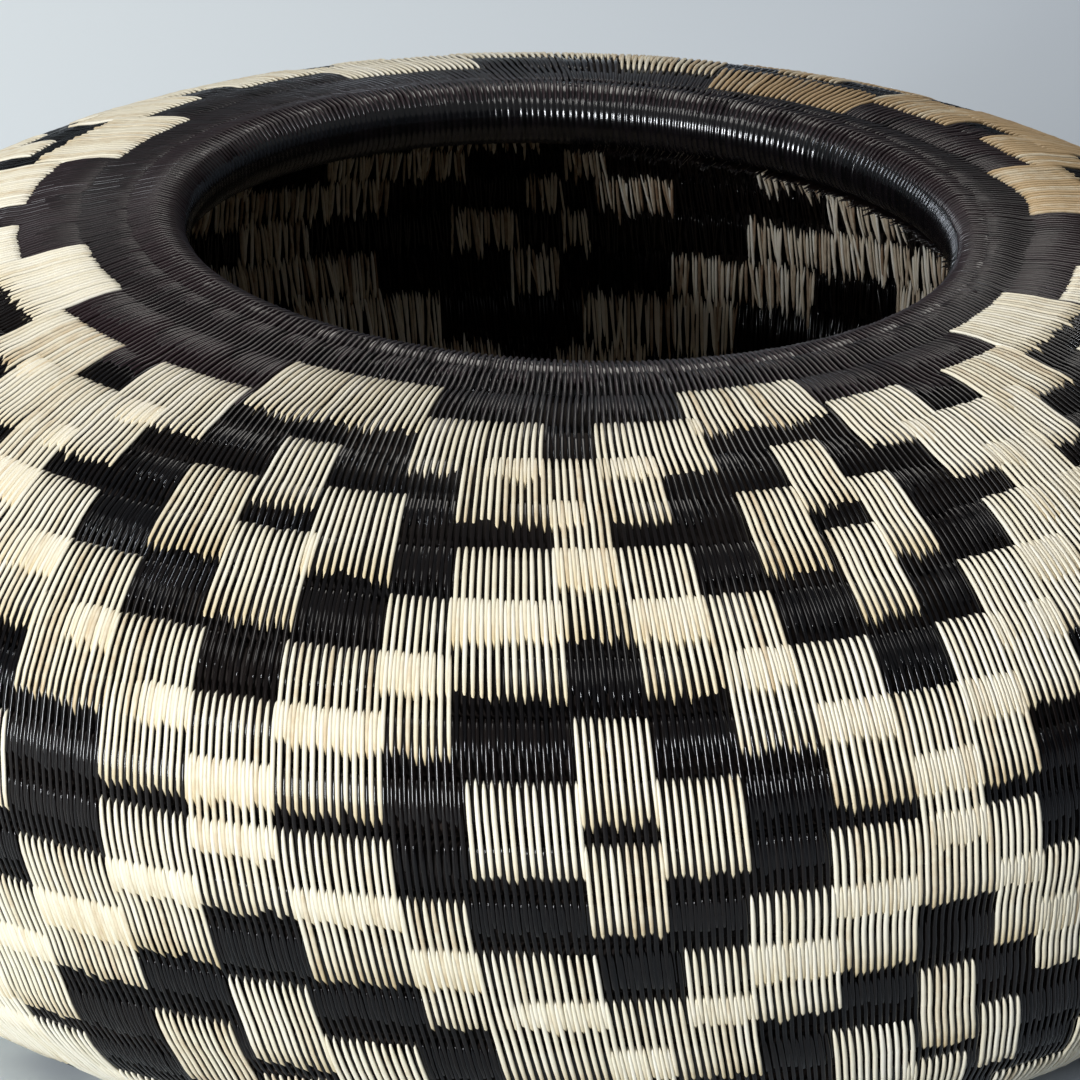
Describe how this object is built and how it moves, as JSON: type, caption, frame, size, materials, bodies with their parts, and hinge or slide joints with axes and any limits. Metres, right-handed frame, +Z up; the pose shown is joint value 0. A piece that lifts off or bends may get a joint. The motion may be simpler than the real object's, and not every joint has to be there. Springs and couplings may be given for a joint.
{
  "type": "coiled basket",
  "caption": "Squat globular coiled basket with a wide inward shoulder, a round mouth and a thick rolled rim, for holding small things.",
  "frame": {"origin": "middle of the flat underside of the base, on the surface that the basket stands on", "axes": "+Z up through the mouth, -Y towards the side that the picture shows, +X to its right"},
  "size_m": [0.2008, 0.2008, 0.0857],
  "materials": {
    "cream_fibre": "undyed split palm fibre, satin, wrapped round a fibre bundle",
    "black_fibre": "black split palm fibre, glossy, wrapped round a fibre bundle",
    "neck_fibre": "brown-black split palm fibre, matte to satin, wrapped round a fibre bundle"
  },
  "bodies": {
    "root": {"start_knot": "cream_fibre", "base_coil": "cream_fibre", "heel_coil": "black_fibre", "lower_wall_coil": "cream_fibre", "belly_coil": "black_fibre", "shoulder_coil": "cream_fibre", "neck_coil": "neck_fibre", "rim_roll": "black_fibre"}
  },
  "joints": []
}
